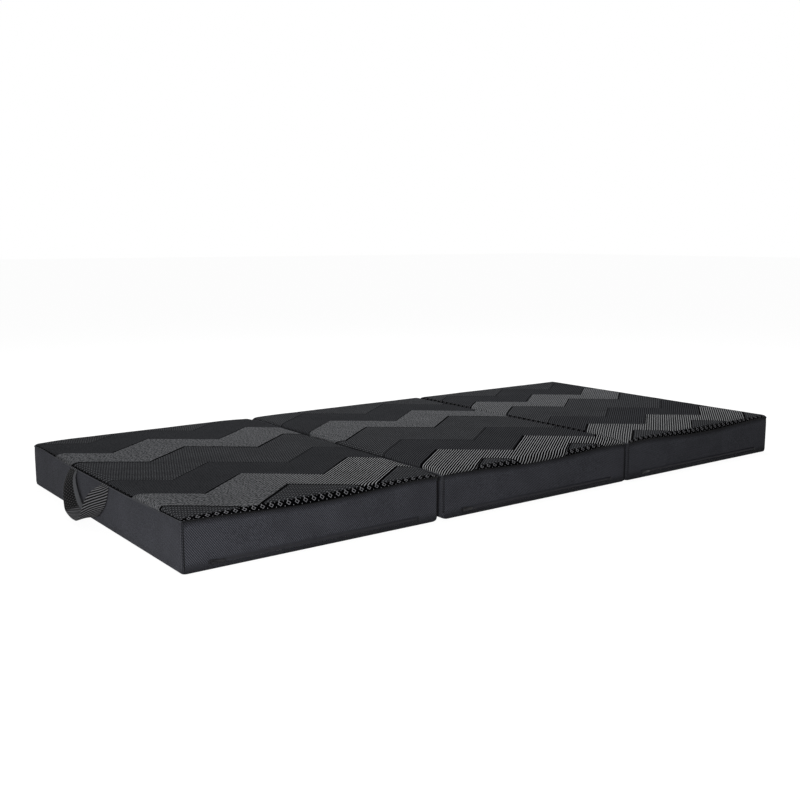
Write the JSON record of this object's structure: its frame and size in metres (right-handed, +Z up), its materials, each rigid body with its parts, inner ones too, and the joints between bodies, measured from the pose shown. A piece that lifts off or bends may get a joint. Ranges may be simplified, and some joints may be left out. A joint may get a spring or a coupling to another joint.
{
  "type": "folding mattress",
  "caption": "Tri-fold foam floor mattress laid flat: zipped knit cover with zigzag top, piped side bands, one fold over, one fold under, strap handles.",
  "frame": {"origin": "on the floor, at the middle of the middle panel's underside", "axes": "+X runs along the mattress away from the hanging handle, +Y across it away from the zips, +Z up"},
  "size_m": [1.9509, 0.9063, 0.116],
  "materials": {
    "knit": "jacquard knit, matt with a slight sheen on the light bands",
    "band": "fine diagonal twill, matt",
    "base": "plain woven underside, matt",
    "welt": "folded binding, matt",
    "strap": "folded cover fabric, matt",
    "zip": "nylon coil and tape, matt",
    "core_foam": "open-cell foam, matt",
    "topper_foam": "open-cell foam, matt",
    "zip_metal": "dark painted, half gloss"
  },
  "bodies": {
    "panel_1": {"foam_core_1": "core_foam", "foam_topper_1": "topper_foam", "base_tray_1": "base", "side_band_1": "band", "knit_top_1": "knit", "welt_1": "welt", "zip_tape_1": "zip", "zip_coil_1": "zip", "zip_stop_start_1": "zip_metal", "zip_stop_end_1": "zip_metal", "top_fold_left": "knit", "handle_1_tab_front": "strap", "handle_1_tab_back": "strap"},
    "panel_2": {"foam_core_2": "core_foam", "foam_topper_2": "topper_foam", "base_tray_2": "base", "side_band_2": "band", "knit_top_2": "knit", "welt_2": "welt", "zip_tape_2": "zip", "zip_coil_2": "zip", "zip_stop_start_2": "zip_metal", "zip_stop_end_2": "zip_metal", "top_fold_right": "knit", "bottom_fold_left": "welt", "handle_2_tab_front": "strap", "handle_2_tab_back": "strap"},
    "panel_3": {"foam_core_3": "core_foam", "foam_topper_3": "topper_foam", "base_tray_3": "base", "side_band_3": "band", "knit_top_3": "knit", "welt_3": "welt", "zip_tape_3": "zip", "zip_coil_3": "zip", "zip_stop_start_3": "zip_metal", "zip_stop_end_3": "zip_metal", "bottom_fold_right": "welt"},
    "handle_1": {"handle_1": "strap"},
    "handle_2": {"handle_2": "strap"},
    "slider_1": {"zip_slider_1": "zip_metal"},
    "pull_1": {"zip_pull_1": "zip_metal"},
    "slider_2": {"zip_slider_2": "zip_metal"},
    "pull_2": {"zip_pull_2": "zip_metal"},
    "slider_3": {"zip_slider_3": "zip_metal"},
    "pull_3": {"zip_pull_3": "zip_metal"}
  },
  "joints": [
    {"name": "fold_1", "type": "hinge", "parent": "panel_1", "child": "panel_2", "pos_m": [-0.31667, 0, 0.11615], "axis": [0, -1, 0], "range_deg": [0, 180]},
    {"name": "fold_2", "type": "hinge", "parent": "panel_2", "child": "panel_3", "pos_m": [0.31667, 0, -0.00015], "axis": [0, 1, 0], "range_deg": [0, 180]},
    {"name": "handle_1_swing", "type": "hinge", "parent": "panel_1", "child": "handle_1", "pos_m": [-0.9523, 0.04, 0.09795], "axis": [0, 1, 0], "range_deg": [0, 70]},
    {"name": "handle_2_swing", "type": "hinge", "parent": "panel_2", "child": "handle_2", "pos_m": [0.31497, 0.015, 0.01585], "axis": [0, 1, 0], "range_deg": [0, 26]},
    {"name": "zip_slide_1", "type": "slide", "parent": "panel_1", "child": "slider_1", "axis": [1, 0, 0], "range_m": [0, 0.497]},
    {"name": "pull_turn_1", "type": "hinge", "parent": "slider_1", "child": "pull_1", "pos_m": [-0.8851, -0.4529, 0.016], "axis": [0, 0, -1], "range_deg": [0, 170]},
    {"name": "zip_slide_2", "type": "slide", "parent": "panel_2", "child": "slider_2", "axis": [1, 0, 0], "range_m": [0, 0.493]},
    {"name": "pull_turn_2", "type": "hinge", "parent": "slider_2", "child": "pull_2", "pos_m": [-0.24577, -0.4529, 0.016], "axis": [0, 0, -1], "range_deg": [0, 170]},
    {"name": "zip_slide_3", "type": "slide", "parent": "panel_3", "child": "slider_3", "axis": [1, 0, 0], "range_m": [0, 0.499]},
    {"name": "pull_turn_3", "type": "hinge", "parent": "slider_3", "child": "pull_3", "pos_m": [0.38557, -0.4529, 0.016], "axis": [0, 0, -1], "range_deg": [0, 170]}
  ],
  "couplings": [
    {"joint": "handle_2_swing", "follows": "fold_2", "ratio": 0.14}
  ]
}
